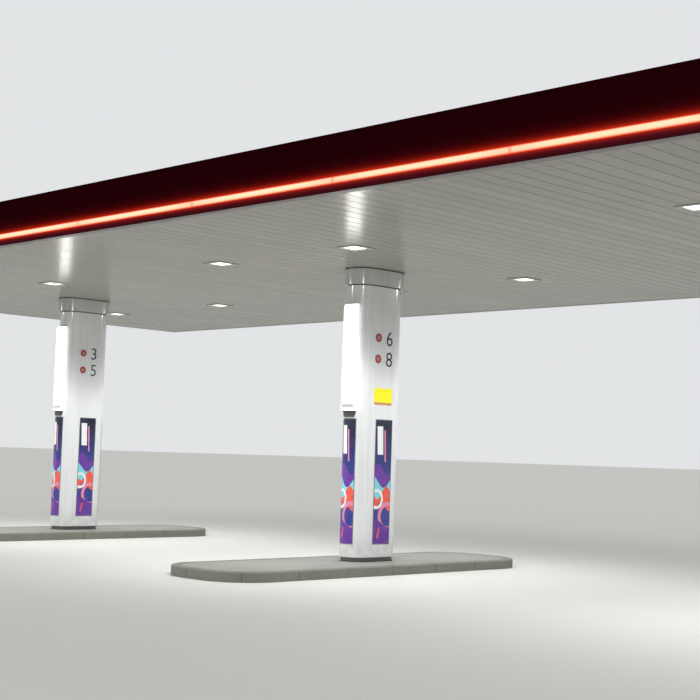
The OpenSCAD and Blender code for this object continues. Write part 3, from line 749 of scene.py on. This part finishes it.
def makeMarks():
    # stepped rings of (radius, height): a raised rim with a sunk middle, and a small disc in it
    r, d = markSet["radius"], markSet["depth"]
    ringOutline = {"sides": markSet["sides"], "rings": [(0, 0.0001), (r, 0.0001), (r, d * 0.6),
                   (r * 0.94, d), (r * 0.8, d), (r * 0.76, d * 0.5), (0, d * 0.5)]}
    discs, facings = [], []
    for centre in columns:
        for side in (-1, 1):
            origin, axes = flatSide(centre, side)
            for height in markSet["heights"]:
                facings.append(axes)
                discs.append(dome(origin + markSet["sideways"] * axes[0] + height * zAxis, axes,
                                  ringOutline))
    makePiece("roundMarks", discs, redMark)
    ringOutline["rings"] = [(0, d * 0.4), (r * 0.5, d * 0.4), (r * 0.5, d * 0.9), (0, d * 0.9)]
    centres = [dome(disc[0, 0], axes, ringOutline) for disc, axes in zip(discs, facings)]
    makePiece("roundMarkCentres", centres, paleVinyl)


makeNumbers()
makeMarks()


# Narrow strips under the yellow plates, on the middle column
underSet = {"size": (0.39, 0.035, 0.004), "gap": 0.005, "corner": 0.004, "bevel": 0.001}
underLevel = boxOf("coloured_plates")[0][2] - underSet["gap"] - underSet["size"][1] / 2
makePiece("plateStrips", [
    plate(origin + underLevel * zAxis, axes, underSet["size"], underSet["corner"], underSet["bevel"])
    for origin, axes in (flatSide(columns[1], side) for side in (-1, 1))], orangeStrip)


# Bands and joint beads round the light boxes
boxSet = {"reach": 0.055, "proud": 0.0015, "halfAngle": 29, "footDrop": 0.01, "corner": 0.001,
          "bandShare": 0.86, "bandHeight": 0.06, "bandThick": 0.004, "bandRise": 0.085,
          "beadHeight": 0.006, "beadThick": 0.003, "beadSunk": 0.0002, "beadRises": (0.43, 0.86, 1.29)}


def noseSweep(centre, halfAngle, radius, level, profile, steps=15):
    # a profile of (outwards, upwards) turned round the front nose's axis
    turns = np.linspace(-halfAngle, halfAngle, steps)
    outwards = np.stack([np.sin(turns), -np.cos(turns), turns * 0], -1)
    axis = np.array([centre[0], centre[1] - noseCentre, level])
    return sweep(profile, axis + radius * outwards, outwards, np.repeat(zAxis[None], steps, 0))


boxFoot = boxOf("light_box_covers")[0][2] - boxSet["footDrop"]
bandProfile = roundedBox(boxSet["bandThick"], boxSet["bandHeight"], boxSet["corner"], 2)
beadProfile = roundedBox(boxSet["beadThick"], boxSet["beadHeight"], boxSet["corner"], 2)
wrapAngle = radians(boxSet["halfAngle"])
bandRadius = noseRadius + boxSet["reach"] + boxSet["proud"] - boxSet["bandThick"] / 2
makePiece("lightBoxBands", [
    noseSweep(centre, wrapAngle * boxSet["bandShare"], bandRadius, boxFoot + boxSet["bandRise"],
              bandProfile) for centre in columns], bandGrey)
makePiece("lightBoxBeads", [
    noseSweep(centre, wrapAngle, bandRadius - boxSet["beadSunk"], boxFoot + rise, beadProfile)
    for centre in columns for rise in boxSet["beadRises"]], materials["lamp_housing"])


# Sealant round the plinths' feet, a dark strip of painted shade in the gap under the collars, and a dark
# joint over them that is partly painted shadow
aroundSet = {"sealant": 0.012, "collarHeight": 0.26, "gapShadeInset": 0.006, "gapShadeThick": 0.003,
             "gapShadeSpare": 0.002, "shadowJointHeight": 0.014, "shadowJointProud": 0.003, "shadowJointSunk": 0.001}


def roundColumns(name, profile, radius, level, steps=24):
    # a profile of (outwards, upwards) carried round one nose in half a circle, then round the other
    turns = np.concatenate([np.linspace(0, pi, steps), np.linspace(pi, tau, steps)])
    shift = np.where(np.arange(2 * steps) < steps, noseCentre, -noseCentre)
    outwards = np.stack([np.cos(turns), np.sin(turns), turns * 0], -1)
    around = outwards * radius + shift[:, None] * yAxis
    up = np.repeat(zAxis[None], 2 * steps, 0)
    makePiece(name, [sweep(profile, around + np.array([*centre, level]), outwards, up, closed=True)
                     for centre in columns], sealant)


bead = np.array([[0, 0], [1, 0], [0.4, 0.4], [0, 1]]) * aroundSet["sealant"]
roundColumns("plinthSealant", bead, boxOf("column_plinths")[1][0] - columns[2][0], islandTop)
gapTop = soffitHeight - aroundSet["collarHeight"]
# the dark strip in the gap under each collar is painted shade: a dark sheet where the gap lies in shadow
gapShade = roundedBox(aroundSet["gapShadeThick"], gapTop - shaftTop - 2 * aroundSet["gapShadeSpare"], 0.001, 2)
gapShadeRadius = noseRadius - aroundSet["gapShadeInset"] + aroundSet["gapShadeThick"] * 0.4
roundColumns("collarFoam", gapShade, gapShadeRadius, (shaftTop + gapTop) / 2)
# a dark joint band at the top of each collar, which also stands for the shadow under the soffit: partly
# painted shadow
shadowJoint = np.array([[-aroundSet["shadowJointSunk"], 0], [aroundSet["shadowJointProud"], 0],
                  [aroundSet["shadowJointProud"], aroundSet["shadowJointHeight"]],
                  [-aroundSet["shadowJointSunk"], aroundSet["shadowJointHeight"]]])
roundColumns("collarJoint", shadowJoint, boxOf("column_collars")[1][0] - columns[2][0],
             soffitHeight - aroundSet["shadowJointHeight"])


# Mortar joints across the kerbs
kerbSet = {"stone": 1.0, "width": 0.008, "proud": 0.0006, "kerbWidth": 0.15, "chamfer": 0.014,
           "corner": 0.7, "endGap": 0.002}


def kerbJoints(node):
    # points at even steps along the outline of a rounded rectangle, each with its outward direction
    low, high = boxOf(node)
    half, centre, corner = (high - low)[:2] / 2, ((high + low) / 2)[:2], kerbSet["corner"]
    straight = 2 * (half - corner)
    quarter = corner * pi / 2
    lengths = [straight[1], quarter, straight[0], quarter] * 2
    count = round(sum(lengths) / kerbSet["stone"])
    strips = []
    for walk in (np.arange(count) + 0.5) * sum(lengths) / count:
        part = 0
        while walk > lengths[part]:
            walk -= lengths[part]
            part += 1
        turn = (part // 2) * pi / 2             # outward direction of the straight before the corner
        facing = turn + walk / corner if part % 2 else turn
        normal = np.array([cos(facing), sin(facing)])
        if part % 2:
            pivot = (half - corner) * np.sign([cos(turn + pi / 4), sin(turn + pi / 4)])
            place = pivot + corner * normal
        else:
            along = np.array([-sin(facing), cos(facing)])
            place = normal * half + along * (walk - lengths[part] / 2)
        strips.append(kerbStrip(np.array([*(place + centre), 0.0]), np.array([*normal, 0.0]), high[2]))
    return strips


def kerbStrip(foot, normal, height):
    # a thin strip carried up the kerb's face, over its chamfer and across its top
    chamfer, gap = kerbSet["chamfer"], kerbSet["endGap"]
    path = np.array([[0, gap], [0, height - chamfer], [-chamfer, height],
                     [gap - kerbSet["kerbWidth"], height]])
    tilt = np.radians([0, 22.5, 67.5, 90])
    up = np.cos(tilt)[:, None] * normal + np.sin(tilt)[:, None] * zAxis
    origins = foot + path[:, 0:1] * normal + path[:, 1:2] * zAxis
    tangent = np.cross(zAxis, normal)
    profile = np.array([[-1, -1], [1, -1], [1, 1], [-1, 1]]) * (kerbSet["width"] / 2, kerbSet["proud"])
    return sweep(profile, origins, np.repeat(tangent[None], 4, 0), up)


makePiece("kerbJoints", [strip for bay in bays for strip in kerbJoints("island_kerb_" + bay)],
          jointMortar)


# Screws in the downlight rims
screwSet = {"sides": 10, "radius": 0.006, "height": 0.003, "inset": 0.022}
downwards = (xAxis, -yAxis, -zAxis)


def screwOutline(values):
    # a head's rings, from its foot just under the surface to its tip
    radius, height = values["radius"], values["height"]
    return {"sides": values["sides"],
            "rings": [(0, -0.0005), (radius, -0.0005), (radius, height * 0.3),
                      (radius * 0.8, height * 0.9), (radius * 0.35, height), (0, height)]}


def glassEdges():
    # the places of the downlight glasses' edges along X and along Y
    points = meshPoints(nodes["downlight_glasses"].data)
    return [np.unique(np.round(points[:, i], 3)) for i in (0, 1)]


def rimScrews():
    # one head out from each corner of each glass, at the inset from the edge of its rim
    low, high = boxOf("downlight_rims")
    xs, ys = glassEdges()
    half = (high[0] - xs.max()) - screwSet["inset"]
    outline = screwOutline(screwSet)
    return [dome(np.array([x + (half if i % 2 else -half), y + (half if j % 2 else -half), low[2]]),
                 downwards, outline) for i, x in enumerate(xs) for j, y in enumerate(ys)]


makePiece("rimScrews", rimScrews(), screwSteel)


# Rivets along the outer edge of the soffit trim
rivetSet = {"sides": 8, "radius": 0.005, "height": 0.0022, "pitch": 0.5, "inset": 0.018}


def trimRivets():
    # on each side a row along X, then a row along Y
    low, high = boxOf("soffit_trim_long")
    reach = (boxOf("soffit_trim_ends")[1][0], high[1])
    outline = screwOutline(rivetSet)
    rivets = []
    for side in (-1, 1):
        for along in (0, 1):
            count = floor(reach[along] / rivetSet["pitch"])
            for step in np.arange(-count, count + 1) * rivetSet["pitch"]:
                place = np.array([step, side * (reach[1 - along] - rivetSet["inset"])])
                rivets.append(dome(np.array([*(place[::-1] if along else place), low[2]]), downwards,
                                   outline))
    return rivets


makePiece("trimRivets", trimRivets(), screwSteel)


# Roof: screws through the deck, straps over the gutters and leaf guards over their outlets
deckScrewSet = {"sides": 6, "radius": 0.012, "height": 0.008, "rows": 5, "firstRow": 0.22,
                "lastRowInset": 0.03, "endSlice": 0.02, "topSlice": 0.002}
strapSet = {"pitch": 1.1, "inset": 0.5, "length": 0.2, "width": 0.03, "thick": 0.003}
guardSet = {"radius": 0.052, "height": 0.06, "sides": 16, "rings": 5, "shift": 0.25, "reach": 0.2}


def ribMiddles(end):
    # in the deck's end face the highest points come in pairs, one pair for each rib
    top = end[end[:, 2] > end[:, 2].max() - deckScrewSet["topSlice"]]
    xs = np.unique(np.round(top[:, 0], 3))
    return (xs[0::2] + xs[1::2]) / 2


def deckScrews():
    # rows of six-sided heads on every rib, above each purlin
    outline = screwOutline(deckScrewSet)
    lastRow = boxOf("purlins")[1][1] - deckScrewSet["lastRowInset"]
    heads = []
    for side, node in ((-1, "roof_deck_front"), (1, "roof_deck_back")):
        points = meshPoints(nodes[node].data)
        away = np.abs(points[:, 1])
        far, near = away.max(), away.min()
        end = points[away > far - deckScrewSet["endSlice"]]
        crest = points[:, 2].max()
        fall = (crest - end[:, 2].max()) / (far - near)
        slope = np.arctan(fall)
        out = np.array([0, side * np.sin(slope), np.cos(slope)])
        axes = (xAxis, np.cross(out, xAxis), out)
        for y in np.linspace(deckScrewSet["firstRow"], lastRow, deckScrewSet["rows"]):
            level = crest - (y - near) * fall
            heads += [dome(np.array([x, side * y, level]), axes, outline) for x in ribMiddles(end)]
    return heads


def gutterStraps():
    # a flat profile carried inwards from the gutter's outer edge, at even steps along X
    low, high = boxOf("roof_gutters")
    count = int((high[0] - low[0]) / strapSet["pitch"])
    across = np.linspace(0, strapSet["length"], 3)
    profile = roundedBox(strapSet["width"], strapSet["thick"], 0.001, 2)
    wide, up = np.repeat(xAxis[None], 3, 0), np.repeat(zAxis[None], 3, 0)
    straps = []
    for side in (-1, 1):
        for x in np.linspace(low[0] + strapSet["inset"], high[0] - strapSet["inset"], count):
            path = np.stack([across * 0 + x, side * (high[1] - across),
                             across * 0 + high[2] + strapSet["thick"] / 2], -1)
            straps.append(sweep(profile, path, wide, up))
    return straps


def leafGuards():
    # a dome over each outlet: radius times cosine, height times sine
    top = boxOf("gutter_outlets")[1][2]
    points = meshPoints(nodes["gutter_outlets"].data)
    points = points[points[:, 2] > top - 0.001]
    bend = np.linspace(0, pi / 2, guardSet["rings"])
    outline = {"sides": guardSet["sides"], "rings": [(0, 0)] + [
        (guardSet["radius"] * cos(a), guardSet["height"] * sin(a)) for a in bend]}
    guards = []
    for centre in columns:
        for side in (-1, 1):
            beside = np.abs(points[:, 0] - centre[0] - guardSet["shift"]) < guardSet["reach"]
            near = points[beside & (points[:, 1] * side > 0)]
            place = np.array([*((near.max(0) + near.min(0)) / 2)[:2], top])
            guards.append(dome(place, (xAxis, yAxis, zAxis), outline))
    return guards


makePiece("deckScrews", deckScrews(), screwSteel)
makePiece("gutterStraps", gutterStraps(), materials["roof_steel"])
makePiece("leafGuards", leafGuards(), materials["roof_steel"], smooth=True)


# Studio: pale floor, soft lamps and a pale background
studioSet = {"floor": rgb(210, 209, 205), "floorRough": 0.75, "floorGloss": 0.2, "floorLevel": -0.001,
             "floorReach": 600, "floorLift": 0.08, "background": rgb(226, 228, 230), "skyPower": 0.58,
             "lampAngle": 40, "key": (0.5, (60, 0, 22)), "fill": (0.22, (66, 0, -52))}


def makeFloor():
    # a wide square; the camera alone sees it lifted by a slight even glow
    reach, level = studioSet["floorReach"], studioSet["floorLevel"]
    mesh = bpy.data.meshes.new("studioFloor")
    mesh.from_pydata([(-reach, -reach, level), (reach, -reach, level), (reach, reach, level),
                      (-reach, reach, level)], [], [(0, 1, 2, 3)])
    material, tree, shader, place = startMaterial("studioFloor", {
        "Roughness": studioSet["floorRough"], "Specular IOR Level": studioSet["floorGloss"],
        "Base Color": studioSet["floor"], "Emission Color": (1, 1, 1, 1)})
    seen = addNode(tree, "ShaderNodeLightPath").outputs["Is Camera Ray"]
    tree.links.new(times(tree, seen, studioSet["floorLift"]), shader.inputs["Emission Strength"])
    mesh.materials.append(material)
    floorPiece = bpy.data.objects.new("studioFloor", mesh)
    scene.collection.objects.link(floorPiece)


def makeWorld():
    # white light from all round, while the camera and mirrors see the background's colour
    world = bpy.data.worlds.new("studio")
    scene.world = world
    world.use_nodes = True
    tree = world.node_tree
    tree.nodes.clear()
    path = addNode(tree, "ShaderNodeLightPath").outputs
    shown = maths(tree, "MAXIMUM", path["Is Camera Ray"], maths(
        tree, "MAXIMUM", path["Is Glossy Ray"], path["Is Transmission Ray"]))
    light = addNode(tree, "ShaderNodeBackground", {"Color": (1, 1, 1, 1),
                                                   "Strength": studioSet["skyPower"]})
    back = addNode(tree, "ShaderNodeBackground", {"Color": studioSet["background"], "Strength": 1.0})
    mix = addNode(tree, "ShaderNodeMixShader", {0: shown, 1: light.outputs[0], 2: back.outputs[0]})
    addNode(tree, "ShaderNodeOutputWorld", {"Surface": mix.outputs[0]})


def addLight(kind, name, power, place=(0, 0, 0), receivers=None, **settings):
    data = bpy.data.lights.new(name, kind)
    data.energy = power
    for key, value in settings.items():
        setattr(data, key, value)
    lamp = bpy.data.objects.new(name, data)
    lamp.location = place
    if receivers is not None:
        lamp.light_linking.receiver_collection = receivers
    scene.collection.objects.link(lamp)
    return lamp


def makeLamps():
    # wide soft lamps, far away: a key from the front right and a weaker fill from the front left
    for name in ("key", "fill"):
        power, turn = studioSet[name]
        lamp = addLight("SUN", name + "Lamp", power, angle=radians(studioSet["lampAngle"]))
        lamp.rotation_euler = [radians(a) for a in turn]


# the canopy's own lamps, which are switched on
downlightSet = {"power": 53, "size": 0.26, "spread": 130, "drop": 0.01, "coreDrop": 0.03,
                "beamPower": 195, "beamSize": 0.1, "beamAngle": 118, "beamBlend": 0.32,
                "glintPower": 7.0, "glintSize": 0.04,
                "beamFalls": ("poster_panels", "coloured_plates", "posterPrints", "plateStrips",
                              "columnNumbers", "roundMarks", "roundMarkCentres")}


def makeDownlights():
    # under each glass an area lamp, a spot for its beam on the columns and a point for its glint
    look = downlightSet
    cladding = bpy.data.collections.new("glintReceivers")
    column = bpy.data.collections.new("beamReceivers")
    for part in frame["record"]["subparts"]:
        if part["material_slot"] == "silver_cladding":
            cladding.objects.link(nodes[part["node"]])
            column.objects.link(nodes[part["node"]])
    for name in look["beamFalls"]:
        column.objects.link(bpy.data.objects[name])
    rim = boxOf("downlight_rims")[0][2]
    xs, ys = glassEdges()
    for x in (xs[0::2] + xs[1::2]) / 2:
        for y in (ys[0::2] + ys[1::2]) / 2:
            core = (x, y, rim - look["coreDrop"])
            wide = addLight("AREA", "downlight", look["power"], (x, y, rim - look["drop"]),
                            size=look["size"], spread=radians(look["spread"]))
            beam = addLight("SPOT", "beam", look["beamPower"], core, column,
                            shadow_soft_size=look["beamSize"], spot_size=radians(look["beamAngle"]),
                            spot_blend=look["beamBlend"])
            glint = addLight("POINT", "glint", look["glintPower"], core, cladding,
                             shadow_soft_size=look["glintSize"])
            wide.visible_glossy = beam.visible_glossy = False
            glint.visible_diffuse = glint.visible_camera = False


makeFloor()
makeWorld()
makeLamps()
makeDownlights()
scene.view_settings.view_transform = "Standard"
print("studio lit")
